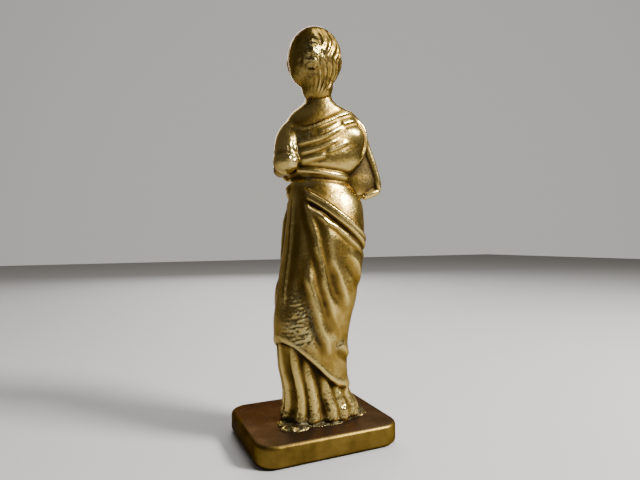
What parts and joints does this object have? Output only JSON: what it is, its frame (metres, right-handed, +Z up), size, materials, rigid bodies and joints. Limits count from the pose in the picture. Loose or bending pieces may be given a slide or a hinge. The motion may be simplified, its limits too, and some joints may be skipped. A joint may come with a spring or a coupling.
{
  "type": "draped figurine",
  "caption": "Cast brass figurine of a standing draped woman on a rounded rectangular plinth, bolted from below, with a felt pad underneath.",
  "frame": {"origin": "middle of the felt pad's underside, on the surface that the figurine stands on", "axes": "+Z up, the figure faces -Y, its left hand is on the +X side"},
  "size_m": [0.0522, 0.0398, 0.139],
  "materials": {
    "cast_brass": "polished on the high places, dark in the folds",
    "patina_brass": "dark patina on top, satin sides",
    "zinc_steel": "zinc plated",
    "green_felt": "pressed wool felt"
  },
  "bodies": {
    "root": {"base_plinth": "patina_brass", "felt_pad": "green_felt", "threaded_stud": "zinc_steel", "flat_washer": "zinc_steel", "hex_nut": "zinc_steel", "locating_pin": "cast_brass", "robe_body": "cast_brass", "head": "cast_brass", "left_forearm": "cast_brass", "right_forearm": "cast_brass"}
  },
  "joints": []
}
